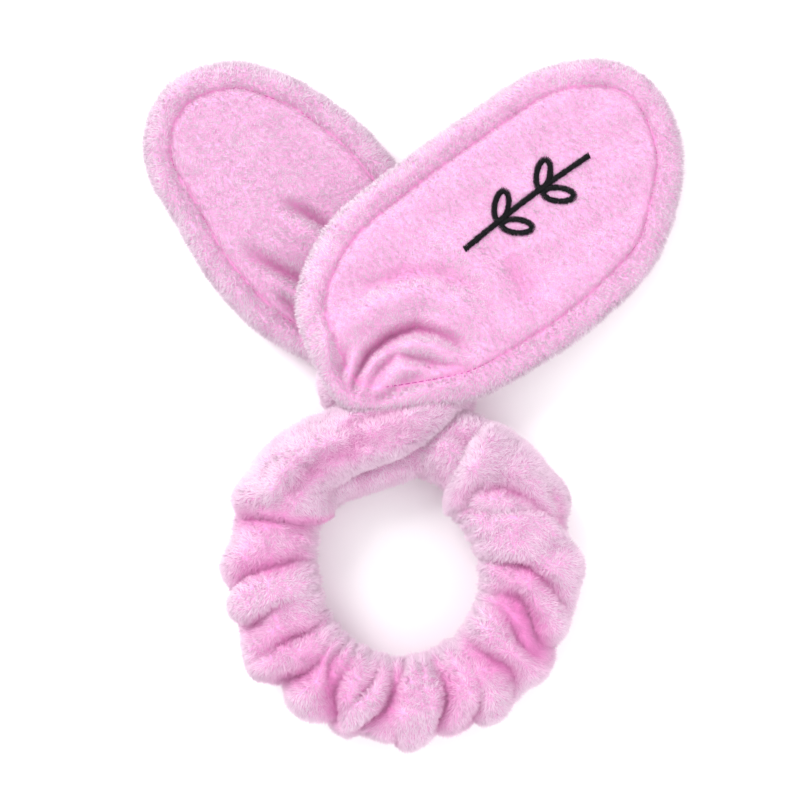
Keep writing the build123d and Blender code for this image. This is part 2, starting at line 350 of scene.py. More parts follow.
fleece_ground, ground_shader, ground_tree = new_material("fleece_ground", 0.95, sheen=0.2, specular=0.1)
ground_patches = noise(ground_tree, 500)
ground_tones = colour_ramp(ground_tree, [(0.3, GROUND_DARK), (0.7, GROUND_LIGHT)])
ground_tree.links.new(ground_patches.outputs["Fac"], ground_tones.inputs["Fac"])
ground_colour = with_painted_shade_and_glow(ground_tree, ground_tones.outputs["Color"], ground_shader)
ground_tree.links.new(ground_colour, ground_shader.inputs["Base Color"])
bumped(ground_tree, ground_shader, noise(ground_tree, 1500))

fleece_pile, pile_shader, pile_tree = new_material("fleece_pile", 0.8, sheen=0.85, specular=0.1)
height_up_tuft = pile_tree.nodes.new("ShaderNodeAttribute")
height_up_tuft.attribute_name = "up_tuft"
tuft_tone = pile_tree.nodes.new("ShaderNodeAttribute")
tuft_tone.attribute_name = "tone"
# The darker root end of this ramp is painted shade among the tufts.
tuft_colours = colour_ramp(pile_tree, [(0.0, TUFT_ROOT), (0.45, TUFT_MIDDLE), (1.0, TUFT_TIP)])
pile_tree.links.new(height_up_tuft.outputs["Fac"], tuft_colours.inputs["Fac"])
brushed = noise(pile_tree, 60, 4.0)
brushed_tone = pile_tree.nodes.new("ShaderNodeMath")
brushed_tone.operation = "MULTIPLY_ADD"
brushed_tone.inputs[1].default_value = 0.24
pile_tree.links.new(brushed.outputs["Fac"], brushed_tone.inputs[0])
pile_tree.links.new(tuft_tone.outputs["Fac"], brushed_tone.inputs[2])
shade = pile_tree.nodes.new("ShaderNodeVectorMath")
shade.operation = "SCALE"
pile_tree.links.new(with_painted_shade_and_glow(pile_tree, tuft_colours.outputs["Color"], pile_shader), shade.inputs[0])
pile_tree.links.new(brushed_tone.outputs["Value"], shade.inputs["Scale"])
pile_tree.links.new(shade.outputs["Vector"], pile_shader.inputs["Base Color"])

# %% Thread and hidden materials
pink_thread = patterned("pink_thread", (0.48, 0.06, 0.30), (0.60, 0.12, 0.40), 2500, 0.55, specular=0.4)
black_thread = patterned(
    "black_thread", (0.002, 0.002, 0.003), (0.006, 0.006, 0.008), 3000, 0.24, specular=0.14
)
wadding_finish = patterned("polyester_wadding", (0.80, 0.80, 0.78), (0.92, 0.92, 0.90), 300, 0.95)
backing_finish = patterned("tear_away_backing", (0.78, 0.78, 0.76), (0.9, 0.9, 0.88), 900, 0.9)
elastic_finish = patterned("woven_elastic", (0.75, 0.75, 0.74), (0.9, 0.9, 0.89), 1500, 0.7)
wire_finish = patterned("coated_wire", (0.75, 0.76, 0.78), (0.85, 0.86, 0.88), 200, 0.35, specular=0.5)
sleeve_finish = patterned("shrunk_sleeve", (0.80, 0.80, 0.81), (0.88, 0.88, 0.89), 400, 0.45, specular=0.4)

# %% [markdown]
# ## The ears
# An ear is two panels sewn round the edge, turned, and topstitched 12 mm inside it. The channel between
# holds the wire and stands up as a soft rim, and the middle is lightly padded. Rows of the soft form run
# from the middle of the front, over the rim, to the middle of the back, so the stitching follows one row.
# The outline is drawn through a few points, in the ear's own directions.

# %% Ear shape
EAR_RIM = 6.6                       # radius of the soft rim
STITCH_INSET = 12.0
STITCH_DIP = 2.8
RIM_SHARE = 0.85                    # share of a skin's rows that lie inside the rim
CORE_SHARE = 0.6                    # share of them that spreads from the spine's middle to its length


def ear_profile(inset, flat=0.0):
    """Half thickness of an ear at a distance inside its edge; the stitched dip is lost where flat is 1."""
    rim = EAR_RIM * np.sqrt(1 - np.clip(1 - inset / EAR_RIM, 0, 1) ** 2)
    dip = (1 - flat) * STITCH_DIP * np.exp(-np.abs(inset - STITCH_INSET) / 2.0)
    middle = 1.4 * (1 - np.exp(-np.clip(inset - STITCH_INSET, 0, None) / 9.0))
    return rim - dip - middle


def ear_shape(ear, margin=0.0, half_thickness=None):
    """The shaping function of an ear. With a margin it is a pad of an even thickness, inside the edge."""
    spine = np.array(ear["spine"], float)

    def shape(down, around):
        edge = smooth_curve(ear["outline"], around / (2 * np.pi) + 0.5, closed=True)
        out = 1 - np.abs(2 * down - 1)
        along = spine[1] - spine[0]
        t = np.clip((edge - spine[0]) @ along / (along @ along), 0, 1)
        spread = 0.5 + (t - 0.5) * ramp(out, 0.0, CORE_SHARE)
        core = spine[0] + spread[:, None] * along
        reach = np.linalg.norm(edge - core, axis=1)
        if half_thickness:
            from_core = np.sin(out * np.pi / 2) * (reach - margin)
        else:
            turn = np.clip((out - RIM_SHARE) / (1 - RIM_SHARE), 0, 1) * np.pi / 2
            flat = np.clip(out / RIM_SHARE, 0, 1) * (reach - EAR_RIM)
            from_core = flat + EAR_RIM * np.sin(turn)
        plan = core + (edge - core) * (from_core / reach)[:, None]
        inset = reach - from_core
        x, y = plan[:, 0], plan[:, 1]
        swell = 0.7 * ripple(np.column_stack([x, y, 0 * x]), 26, ear["seed"])
        folds = sculpted(x, y, ear["folds"]) * np.clip(inset / 8, 0, 1)
        top = folds + swell * np.clip(inset / 8, 0, 1)
        bunched_at, bunched_reach = ear["bunched"]
        flat = np.exp(-((np.hypot(x - bunched_at[0], y - bunched_at[1]) / bunched_reach) ** 2))
        half = ear_profile(inset, flat)
        front = half + top
        back = -half + 0.35 * np.clip(top, -3, 2)
        if half_thickness:
            level = (front + back) / 2
            room = np.clip((front - back) / 2 - 1.0, 0.15, half_thickness) * np.sqrt(1 - out**8)
            front, back = level + room, level - room
        height = ear["middle"](x, y) + np.where(down < 0.5, front, back)
        # Painted shade: the colour darkens in the creases of the front and along the stitched groove.
        groove = 0.6 * (1 - flat) * np.exp(-np.abs(inset - STITCH_INSET) / 0.9)
        valley = np.clip(-folds / 7.0, 0, 0.9) * (down < 0.5) + groove
        return np.column_stack([x, y, np.maximum(height, 0.5)]), inset, np.clip(valley, 0, 0.9)

    return shape


def row_at(ear, inset, around):
    """Which row of an ear's front lies that far inside the edge, for each angle round."""
    low = np.full(len(around), 0.3)
    high = np.full(len(around), 0.5)
    for _ in range(24):
        middle = (low + high) / 2
        deeper = ear["shape"](middle, around)[1] > inset
        low = np.where(deeper, middle, low)
        high = np.where(deeper, high, middle)
    return (low + high) / 2


def heading(side, x, y):
    """Distance past an ear's fold, towards its tip, of points seen from above."""
    return (x - FOLDS[side].x) * ALONG[side].x + (y - FOLDS[side].y) * ALONG[side].y


# %% [markdown]
# The right ear comes over the knot, so it slopes from the top of the knot down to the floor, and the
# fabric near its base is pulled into one deep crease, two long ridges and a crumpled corner.

# %% Right ear
right = {
    "seed": 3,
    "outline": [
        (-34, 1), (-16, -4), (26, 2.5), (62, 22), (86, 40), (108, 63), (119.5, 92), (121.5, 116),
        (114, 138), (101, 151.5), (82, 156.5), (55, 150.5), (26, 131.5), (-9, 105.5), (-38.5, 78.5),
        (-52, 47), (-46, 22),
    ],
    "spine": [(2, 45), (78, 103)],
    "bunched": ((-8, 4), 30.0),
    "folds": [
        ([(0, 75), (12, 73), (22, 68), (34, 58), (43, 44)], 2.6, 5.5),
        ([(2, 92), (16, 90), (30, 86)], 1.3, 5),
        ([(-30, 38), (-18, 51), (-6, 57), (13, 58), (28, 50)], -3.2, 5),
        ([(-36, 29), (-27, 39), (-17, 45), (2, 49), (19, 45), (30, 33), (35, 24)], 5.0, 6),
        ([(-30, 3), (-26, 12), (-21, 21), (-12, 29), (0, 33.5), (12, 30), (22, 25)], -8.5, 3.4),
        ([(-12, 21), (-4, 26), (8, 26), (18, 20)], 4.5, 4.5),
        ([(-22, 3), (-16, 15), (-8, 22), (8, 18), (24, 16)], -4.5, 3.0),
        ([(-17, 2), (-9, 10), (4, 12)], -2.6, 2.8),
        ([(-25, 10), (-19, 18), (-13, 24)], 3.5, 2.0),
        ([(-14, 6), (-6, 15), (4, 16)], 2.5, 2.4),
        ([(-32, 4), (-33, 14), (-30, 28)], -3.0, 3.4),
        ([(-30, 2), (-29, 12), (-25, 24)], 3.0, 2.4),
        ([(-42, 38), (-38, 18), (-32, 4)], 2.5, 3.0),
        ([(-36, 30), (-37, 18), (-34, 8)], -2.0, 2.2),
        ([(-8, 0), (4, 6), (18, 9)], 1.8, 3.0),
        ([(-20, -1), (-8, 6), (8, 9), (22, 14)], -2.2, 2.4),
        ([(40, 66), (47, 56), (54, 44)], -3.0, 6),
    ],
}
right["middle"] = lambda x, y: 8.5 + 29.0 * np.clip((118 - heading("right", x, y)) / 190, 0, 1) ** 1.15
right["shape"] = ear_shape(right)
right_ear = finished("right_ear_fleece", soft_form(150, 300, right["shape"]), fleece_ground)

# %% Left ear
left = {
    "seed": 8,
    "outline": [
        (8, 22), (-8, 12), (-30, 12), (-50, 21), (-73.5, 35), (-94.5, 58), (-110, 84.5), (-120, 101),
        (-123.5, 116.5), (-120, 134), (-107, 149), (-83, 155.5), (-61, 150), (-44, 141), (-21, 122.5),
        (2, 92), (16, 55),
    ],
    "spine": [(-28, 52), (-80, 112)],
    "bunched": ((-20, 14), 26.0),
    "folds": [
        ([(-60, 92), (-50, 87), (-41, 81), (-30, 74)], -5.5, 3.2),
        ([(-64, 84), (-54, 79), (-44, 75), (-34, 68)], 2.8, 4.5),
        ([(-76, 70), (-64, 62), (-54, 57), (-44, 54)], -6.0, 3.6),
        ([(-68, 76), (-56, 71), (-42, 66)], 2.6, 5),
        ([(-66, 58), (-57, 51), (-50, 44)], 3.0, 4),
        ([(-62, 50), (-55, 44), (-50, 34)], -5.0, 3.0),
    ],
}
left["middle"] = lambda x, y: 8.2 + 4.0 * np.clip(-heading("left", x, y) / 60, 0, 1) ** 2
left["shape"] = ear_shape(left)
left_ear = finished("left_ear_fleece", soft_form(130, 260, left["shape"]), fleece_ground)
print("ears made,", len(right_ear.data.polygons) + len(left_ear.data.polygons), "faces")

# %% [markdown]
# ## The gathered band
# The band is a fabric tube about half as long again as the elastic inside it, so it bunches into puffs
# with creases between them. Each crease is given by its angle round the opening where it meets the inner
# edge, the top and the outer edge. The depth falls off sharply from the crease, which leaves round puffs.

# %% Band shape
BAND_FROM = np.radians(136.0)       # where the tube starts, hidden under the left neck
BAND_SWEEP = np.radians(288.0)      # round the nape to the right of the knot
BAND_HALF_WIDTH = 21.2
BAND_HALF_HEIGHT = 21.0
END_SHARE = 0.04
CREASES = [
    # angle at the inner edge, the top and the outer edge, depth and half width in mm, then where round the
    # tube it is deepest (0 outer edge, 90 top, 180 inner edge) and how far it spreads from there
    (142, 149, 158, 14, 5.0, 90, 110), (166, 175, 185, 10, 4.5, 60, 80), (171, 176, 182, 6, 3.0, 140, 45),
    (191, 193, 197, 9, 4.0, 40, 60), (206, 210, 207, 9, 4.0, 110, 60), (219, 225, 222, 12, 4.5, 50, 80),
    (228, 234, 235, 6, 3.0, 130, 40), (240, 242, 245, 11, 4.5, 65, 80), (257, 250, 246, 6, 3.0, 130, 45),
    (268, 261, 254, 11, 4.0, 80, 75), (273, 267, 264, 6, 3.0, 150, 40), (272, 270, 268, 7, 3.5, 15, 40),
    (289, 290, 280, 10, 4.0, 90, 75), (312, 306, 297, 9, 4.0, 25, 50), (317, 322, 313, 11, 4.5, 100, 75),
    (344, 334, 328, 8, 3.5, 85, 55), (353, 347, 334, 14, 5.5, 80, 75), (373, 364, 349, 10, 4.0, 90, 60),
    (405, 398, 372, 16, 5.5, 65, 70),
]

OUTER_AT = (120, 150, 180, 210, 240, 270, 300, 330, 360, 390, 430)
OUTER_REACH = (3.0, 3.0, -1.0, -1.0, -4.0, -4.0, -3.5, -1.0, 0.5, 3.0, 3.0)


def band_shape(down, around):
    turned = BAND_FROM + BAND_SWEEP * down
    degrees = np.degrees(turned)
    lean = np.cos(around)
    rise = np.sin(around)
    depth = np.zeros(len(down))
    for number, (inner, top, outer, deep, width, where, spread) in enumerate(CREASES):
        under = (inner + outer) / 2 + 5 * np.sin(2.4 * number)
        even = ((inner + outer) / 2 + (top + under) / 2) / 2
        wave = ((inner + outer) / 2 - (top + under) / 2) / 2
        crease = even + (outer - inner) / 2 * lean + (top - under) / 2 * rise + wave * np.cos(2 * around)
        crease += 1.6 * np.sin(3 * around + 1.7 * number)
        gap = np.radians(degrees - crease) * (BAND_RADIUS + BAND_HALF_WIDTH * lean)
        steep = -1 if number % 3 == 0 else 1
        reach = width * np.where(gap * steep > 0, 0.6, 1.45)
        strength = np.exp(-(((np.abs(np.degrees(around)) - where) / spread) ** 2))
        depth += 1.25 * deep * strength * np.exp(-((np.abs(gap) / reach) ** 1.15))
    depth = 15 * np.tanh(depth / 15) * (0.62 + 0.38 * rise - 0.30 * np.clip(-lean, 0, 1) ** 2)
    gather = 0.7 * np.sin(degrees * 0.62 + 2 * np.sin(degrees * 0.11)) * np.clip(-lean, 0, 1) ** 2
    puff = 1.3 * np.sin(degrees * 0.21 + 1.2) + 1.0 * np.sin(degrees * 0.33 + around)
    wider = np.interp(degrees, OUTER_AT, OUTER_REACH) * np.clip(lean, 0, 1)
    tighter = -6.0 * np.exp(-(((degrees - 140) / 28) ** 2)) * np.clip(-lean, 0, 1)
    size = 1 + (puff * (0.5 + 0.5 * lean) + wider + tighter - depth + gather) / BAND_HALF_WIDTH
    from_end = np.minimum(down, 1 - down) / END_SHARE
    size *= np.sqrt(1 - np.clip(1 - from_end, 0, 1) ** 2)
    square = 1 / (np.abs(lean) ** 2.6 + np.abs(rise) ** 2.6) ** (1 / 2.6)
    out = BAND_RADIUS + BAND_HALF_WIDTH * size * lean * square
    height = BAND_HALF_HEIGHT * size * rise * square + OPENING.z
    places = np.column_stack([
        OPENING.x + out * np.cos(turned), OPENING.y + out * np.sin(turned), np.maximum(height, 0.5)
    ])
    places[:, 2] += 0.9 * ripple(places, 19, 5) * np.maximum(rise, 0)
    # The colour darkens with the depth of the creases: painted shade.
    return places, np.full(len(down), 99.0), np.clip(depth / 8.5 - 0.14, 0, 0.9)


# %% [markdown]
# The band is cut in two at the level where the ears' hinge begins to act, because the nape side stretches
# away and the knot side rises with the ears. Each half is closed at the cut, inside the tube.

# %% Band halves
KNOT_START = OPENING.y + 28.0


def band_half(name, keep_nape):
    """The band on one side of the cut, closed there."""
    bm = soft_form(400, 96, band_shape)
    everything = bm.verts[:] + bm.edges[:] + bm.faces[:]
    cut = bmesh.ops.bisect_plane(
        bm, geom=everything, plane_co=(0, KNOT_START, 0), plane_no=(0, 1 if keep_nape else -1, 0),
        clear_outer=True,
    )
    rim = [e for e in cut["geom_cut"] if isinstance(e, bmesh.types.BMEdge)]
    bmesh.ops.holes_fill(bm, edges=rim, sides=0)
    return finished(name, bm, fleece_ground)


nape_band = band_half("band_fleece_nape", True)
knot_band = band_half("band_fleece_knot", False)

# %% [markdown]
# ## The necks of the twist
# Past the gathers each end of the band narrows to a neck. The left neck rolls over the front of the right
# one and dives behind it at the right, and the right neck does the opposite at the left.

# %% Necks
NECK_END_SHARE = 0.05
NECK_FOLDS = [
    ([(-60, -48), (-52, -34), (-38, -24), (-20, -16), (0, -10)], -2.4, 4.5),
    ([(-66, -46), (-60, -32), (-46, -20), (-28, -11)], 2.0, 4),
    ([(-44, -18), (-26, -8), (-8, -4), (6, 4)], -2.5, 2.6),
    ([(14, -12), (24, -20), (27, -30), (20, -36)], -2.2, 3.0),
    ([(27, -30), (33, -25), (37, -18)], -3.0, 2.6),
    ([(20, -44), (25, -36), (24, -28)], -2.0, 2.4),
    ([(30, -40), (37, -37), (46, -40), (60, -52)], -4.0, 3.0),
    ([(42, -30), (54, -32), (62, -42)], 2.0, 5.0),
]


def neck_form(name, points, seed):
    """A soft tube through points (x, y, z, half width, half height), with rounded ends."""

    def shape(down, around):
        at = smooth_curve(points, down)
        forward = (smooth_curve(points, down + 0.01) - smooth_curve(points, down - 0.01))[:, :3]
        forward /= np.linalg.norm(forward, axis=1)[:, None]
        side = np.cross(forward, [0, 0, 1.0])
        side /= np.linalg.norm(side, axis=1)[:, None]
        up = np.cross(side, forward)
        ends = np.sqrt(1 - np.clip(1 - np.minimum(down, 1 - down) / NECK_END_SHARE, 0, 1) ** 2)
        wave = 1 + 0.04 * np.sin(3 * around + 9 * down + seed) + 0.03 * np.sin(14 * down + 2 * around)
        across = (at[:, 3] * ends * wave * np.cos(around))[:, None] * side
        lift = (at[:, 4] * ends * wave * np.sin(around))[:, None] * up
        places = at[:, :3] + across + lift
        folds = sculpted(places[:, 0], places[:, 1], NECK_FOLDS) + 0.6 * ripple(places, 15, seed)
        places[:, 2] += folds * np.clip(np.sin(around) * 1.5, 0, 1) * ends
        places[:, 2] = np.maximum(places[:, 2], 0.5)
        # Painted shade: the colour darkens in the creases on top and at the start of the neck.
        start = np.exp(-(((down - 0.02) / 0.035) ** 2))
        valley = np.clip(-folds / 5.5 * (np.sin(around) > 0) + 0.85 * start, 0, 0.85)
        return places, np.full(len(down), 99.0), valley

    return finished(name, soft_form(190, 72, shape), fleece_ground)


left_neck = neck_form("left_neck_fleece", [
    (-59, -51, 23, 19.5, 19), (-56.5, -39, 25, 19.5, 20), (-48, -27, 28, 17, 18), (-32, -18, 31, 15, 15),
    (-12, -11, 31, 13.5, 13), (4, -3, 27, 10.5, 11), (15, 7, 20, 9, 10), (17, 20, 13, 11, 9),
    (4, 32, 11, 16, 8), (-16, 46, 10, 20, 7),
], 1)
left_neck_roll = neck_form("left_neck_under_roll", [
    (-54, -50, 17, 8, 12), (-38, -37, 19, 8.5, 12), (-20, -31, 20, 8.5, 11), (-2, -24, 20, 8, 10),
    (10, -13, 18, 7.5, 10), (18, -2, 15, 7.5, 9), (20, 10, 12, 8, 8),
], 2)
right_neck = neck_form("right_neck_fleece", [
    (50, -61, 22, 14, 14), (46.5, -51, 23, 19, 19), (40.5, -40.5, 23, 20.5, 20), (31, -30.5, 21, 19, 17),
    (17, -21, 19, 17, 15), (-2, -15, 14, 14.5, 12), (-23, -3, 13, 13, 11), (-33, 8, 19, 10, 10.5),
    (-29, 19, 25, 11, 6), (-17, 30, 25, 14, 3),
], 4)

# %% [markdown]
# ## Repeating one small shape many times
# Stitches, satin threads and tufts are all one tiny shape laid thousands of times. An Array modifier makes
# the copies of a template, and then each copy is turned, stretched and carried to its own place.


# %% Repeat helper
def tuft_template():
    bm = bmesh.new()
    bmesh.ops.create_cone(bm, cap_ends=True, segments=3, radius1=1, radius2=0, depth=1)
    bmesh.ops.translate(bm, vec=(0, 0, 0.5), verts=bm.verts)
    bmesh.ops.remove_doubles(bm, verts=bm.verts, dist=1e-5)
    in_order(bm)
    return bm


def thread_template():
    """A plump little thread along +Z, from 0 to 1, with closed round ends."""
    bm = bmesh.new()
    bmesh.ops.create_uvsphere(bm, u_segments=6, v_segments=5, radius=1)
    bmesh.ops.scale(bm, vec=(1, 1, 0.5), verts=bm.verts)
    bmesh.ops.translate(bm, vec=(0, 0, 0.5), verts=bm.verts)
    in_order(bm)
    return bm


def repeated(name, template, roots, forward, side, lengths, widths, material):
    """Copies of a template: each runs from its root along forward, and side is its local X. All in mm."""
    one = bpy.data.meshes.new(name + "_one")
    template.to_mesh(one)
    template.free()
    maker = bpy.data.objects.new(name + "_maker", one)
    bpy.context.collection.objects.link(maker)
    rows = maker.modifiers.new("rows", "ARRAY")
    rows.count = len(roots)
    rows.use_relative_offset = False
    evaluated = maker.evaluated_get(bpy.context.evaluated_depsgraph_get())
    mesh = bpy.data.meshes.new_from_object(evaluated)
    bpy.data.objects.remove(maker)
    local = np.array([v.co for v in one.vertices])
    other = np.cross(forward, side)
    places = (
        roots[:, None, :]
        + (local[None, :, 0:1] * widths[:, None, None]) * side[:, None, :]
        + (local[None, :, 1:2] * widths[:, None, None]) * other[:, None, :]
        + (local[None, :, 2:3] * lengths[:, None, None]) * forward[:, None, :]
    )
    places[..., 2] = np.maximum(places[..., 2], 0.2)
    mesh.vertices.foreach_set("co", (places * MM).ravel())
    mesh.update()
    mesh.name = name
    mesh.materials.clear()
    mesh.materials.append(material)
    piece = bpy.data.objects.new(name, mesh)
    bpy.context.collection.objects.link(piece)
    return piece, local


def unit(vectors):
    return vectors / np.maximum(np.linalg.norm(vectors, axis=1)[:, None], 1e-9)


# %% [markdown]
# ## The sprig
# The right ear carries a small leafy sprig in black satin stitch: a stem and four almond leaves, each an
# outline one stitch wide. Satin stitch is threads laid side by side across the line, so each stroke of the
# drawing is walked in small steps and gets a thread across it at every step, domed over its middle.

# %% Sprig drawing
SPRIG_FOOT = 15.0                   # from the fold to the foot of the stem
SPRIG_LENGTH = 72.0
SPRIG_OFFSET = 7.0                  # towards the ear's left edge
LEAF_REACH = 8.5
LEAF_HALF_WIDTH = 4.5
LEAF_ANGLE = 42.0
SATIN_WIDTH = 2.8
SATIN_PITCH = 0.46


def on_right_ear(along, across):
    """Places from above, in mm, of points given in the right ear's own directions from its fold."""
    x = FOLDS["right"].x + ALONG["right"].x * along + ACROSS["right"].x * across
    y = FOLDS["right"].y + ALONG["right"].y * along + ACROSS["right"].y * across
    return np.column_stack([x, y])


def sprig_strokes():
    t = np.linspace(0, 1, 120)
    sway = 1.2 * np.sin(np.pi * t)
    strokes = [on_right_ear(SPRIG_FOOT + SPRIG_LENGTH * t, SPRIG_OFFSET + sway)]
    for pair in range(2):
        foot = SPRIG_FOOT + SPRIG_LENGTH * (pair + 0.8) / 3
        for sign in (1, -1):
            turn = np.radians(sign * LEAF_ANGLE)
            round_leaf = 2 * np.pi * t
            ahead = LEAF_REACH - (LEAF_REACH - SATIN_WIDTH / 2) * np.cos(round_leaf)
            aside = (LEAF_HALF_WIDTH - SATIN_WIDTH / 2) * np.sin(round_leaf)
            strokes.append(on_right_ear(
                foot + ahead * np.cos(turn) - aside * np.sin(turn),
                SPRIG_OFFSET + ahead * np.sin(turn) + aside * np.cos(turn),
            ))
    return strokes


# %% Satin threads
right_surface = BVHTree.FromPolygons(
    [v.co / MM for v in right_ear.data.vertices], [p.vertices[:] for p in right_ear.data.polygons]
)


def surface_height(x, y):
    hit = right_surface.ray_cast(Vector((x, y, 200)), Vector((0, 0, -1)))[0]
    return hit.z


def evenly(points, pitch):
    """Points at even steps along a drawn stroke."""
    lengths = np.r_[0, np.cumsum(np.linalg.norm(np.diff(points, axis=0), axis=1))]
    at = np.arange(0, lengths[-1], pitch)
    return np.column_stack([np.interp(at, lengths, points[:, k]) for k in (0, 1)])


rng = np.random.default_rng(21)
satin_roots, satin_ends, satin_middles = [], [], []
for drawn in sprig_strokes():
    steps = evenly(drawn, SATIN_PITCH)
    run = unit(np.gradient(steps, axis=0))
    cross = np.column_stack([-run[:, 1], run[:, 0]])
    slant = unit(cross + 0.22 * run)
    half = SATIN_WIDTH / 2 * (1 + 0.07 * rng.normal(size=len(steps)))
    for middle, way, reach in zip(steps, slant, half):
        top = surface_height(*middle) + 1.7
        satin_middles.append(middle)
        for sign in (-1, 1):
            end = middle + sign * way * reach
            satin_roots.append((*end, surface_height(*end) + 0.9))
            satin_ends.append((*(middle - sign * way * 0.3), top))
satin_roots = np.array(satin_roots)
satin_ends = np.array(satin_ends)
satin_run = satin_ends - satin_roots
satin_forward = unit(satin_run)
satin_side = unit(np.cross(satin_forward, [0, 0, 1.0]))
sprig, _ = repeated(
    "right_ear_sprig", thread_template(), satin_roots - satin_forward * 0.2, satin_forward, satin_side,
    np.linalg.norm(satin_run, axis=1) + 0.5, rng.uniform(0.24, 0.34, len(satin_roots)), black_thread,
)
satin_middles = np.array(satin_middles)
print("satin threads", len(satin_roots))

# %% [markdown]
# ## The topstitching
# One line of lockstitch runs round each ear, front and back, 12 mm inside the edge. Each stitch is a short
# thread that sits in the groove it pulls into the fleece. The line fades into the crumpled base.

# %% Topstitching
STITCH_STEP = 3.1
STITCH_LENGTH = 2.5
BASE_END = {"right": -52.0, "left": -58.0}


def topstitching(side, ear):
    around = np.linspace(-np.pi, np.pi, 4000, endpoint=False)
    row = row_at(ear, STITCH_INSET, around)
    pieces = []
    for down in (row, 1 - row):
        line = ear["shape"](down, around)[0]
        gone = np.r_[0, np.cumsum(np.linalg.norm(np.diff(line, axis=0), axis=1))]
        at = np.arange(0, gone[-1], STITCH_STEP)
        starts = np.column_stack([np.interp(at, gone, line[:, k]) for k in range(3)])
        ends = np.column_stack([np.interp(at + STITCH_LENGTH, gone, line[:, k]) for k in range(3)])
        shown = heading(side, starts[:, 0], starts[:, 1]) > BASE_END[side]
        pieces.append(np.stack([starts[shown], ends[shown]], axis=1))
    both = np.concatenate(pieces)
    forward = unit(both[:, 1] - both[:, 0])
    across = unit(np.cross(forward, [0, 0, 1.0]))
    lengths = np.linalg.norm(both[:, 1] - both[:, 0], axis=1)
    piece, _ = repeated(
        f"{side}_ear_topstitching", thread_template(), both[:, 0], forward, across, lengths,
        np.full(len(both), 0.32), pink_thread,
    )
    print(side, "topstitches", len(both))
    return piece


right_topstitch = topstitching("right", right)
left_topstitch = topstitching("left", left)

# %% [markdown]
# ## Inside the ears and the band
# The wadding, the embroidery's backing, the wire loop with its sleeve and the elastic don't show, but they
# bend and stretch with the fleece, so they are made here to follow it. The wadding is the ear's own form,
# inset and thin. The backing is a grid dropped onto the ear's surface. The wire, the sleeve and the elastic
# are curves with a section, turned into meshes.

# %% Wadding
WADDING_MARGIN = 14.5
WADDING_HALF = 1.5
right_wadding = finished(
    "right_ear_wadding", soft_form(70, 150, ear_shape(right, WADDING_MARGIN, WADDING_HALF)), wadding_finish
)
left_wadding = finished(
    "left_ear_wadding", soft_form(60, 130, ear_shape(left, WADDING_MARGIN, WADDING_HALF)), wadding_finish
)


# %% Embroidery backing
BACKING_SIZE = (88.0, 40.0)         # along and across the ear
BACKING_BELOW = 1.6                 # under the face of the fleece

bm = bmesh.new()
bmesh.ops.create_grid(bm, x_segments=44, y_segments=20, size=0.5)
for vert in bm.verts:
    along = SPRIG_FOOT + SPRIG_LENGTH / 2 + vert.co.x * BACKING_SIZE[0]
    (x, y), = on_right_ear(along, SPRIG_OFFSET + vert.co.y * BACKING_SIZE[1])
    vert.co = (x, y, surface_height(x, y) - BACKING_BELOW)
bmesh.ops.solidify(bm, geom=bm.faces[:], thickness=0.4)
backing = finished("right_ear_sprig_backing", bm, backing_finish)


# %% Wires and elastic
def swept(name, points, radius, closed, material, height=0.0):
    """A round or flat section swept along points in mm, as a mesh."""
    curve = bpy.data.curves.new(name + "_route", "CURVE")
    curve.dimensions = "3D"
    spline = curve.splines.new("POLY")
    spline.points.add(len(points) - 1)
    for knot, place in zip(spline.points, points):
        knot.co = (*(Vector(place) * MM), 1)
    spline.use_cyclic_u = closed
    curve.bevel_depth = radius * MM
    curve.bevel_resolution = 2
    curve.extrude = height * MM
    curve.use_fill_caps = True
    curve.twist_mode = "Z_UP"
    maker = bpy.data.objects.new(name + "_maker", curve)
    bpy.context.collection.objects.link(maker)
    evaluated = maker.evaluated_get(bpy.context.evaluated_depsgraph_get())
    mesh = bpy.data.meshes.new_from_object(evaluated)
    bpy.data.objects.remove(maker)
    mesh.name = name
    mesh.materials.clear()
    mesh.materials.append(material)
    mesh.shade_smooth()
    piece = bpy.data.objects.new(name, mesh)
    bpy.context.collection.objects.link(piece)
    return piece


WIRE_INSET = 7.5
WIRE_RADIUS = 1.1


def channel(ear, count):
    """Points round the middle of the channel that holds an ear's wire."""
    around = np.linspace(-np.pi, np.pi, count, endpoint=False)
    row = row_at(ear, WIRE_INSET, around)
    return (ear["shape"](row, around)[0] + ear["shape"](1 - row, around)[0]) / 2


def ear_wire(side, ear):
    return swept(f"{side}_ear_wire_loop", channel(ear, 160), WIRE_RADIUS, True, wire_finish)


SLEEVE_LENGTH = 14.0
SLEEVE_RADIUS = 2.3
SLEEVE_STEPS = 600                  # round the whole channel


def ear_sleeve(side, ear):
    """The sleeve that closes the wire loop, on the stretch nearest the ear's base end."""
    line = channel(ear, SLEEVE_STEPS)
    middle = SLEEVE_STEPS // 2
    base_end = int(np.argmin(heading(side, line[:, 0], line[:, 1])))
    line = np.roll(line, middle - base_end, axis=0)
    off = np.linalg.norm(line - line[middle], axis=1)
    return swept(f"{side}_ear_sleeve", line[off < SLEEVE_LENGTH / 2], SLEEVE_RADIUS, False, sleeve_finish)


right_wire = ear_wire("right", right)
left_wire = ear_wire("left", left)
right_sleeve = ear_sleeve("right", right)
left_sleeve = ear_sleeve("left", left)

ELASTIC_POINTS = 120
ELASTIC_ENDS = (155.5, 384.5)       # degrees round the opening, at the bar tacks
ELASTIC_HALF_HEIGHT = 9.2
ELASTIC_EDGE_RADIUS = 0.8

elastic_angles = np.radians(np.linspace(*ELASTIC_ENDS, ELASTIC_POINTS))
elastic_points = np.column_stack([
    OPENING.x + BAND_RADIUS * np.cos(elastic_angles), OPENING.y + BAND_RADIUS * np.sin(elastic_angles),
    np.full(ELASTIC_POINTS, OPENING.z),
])
elastic = swept(
    "band_elastic_strip", elastic_points, ELASTIC_EDGE_RADIUS, False, elastic_finish,
    height=ELASTIC_HALF_HEIGHT,
)

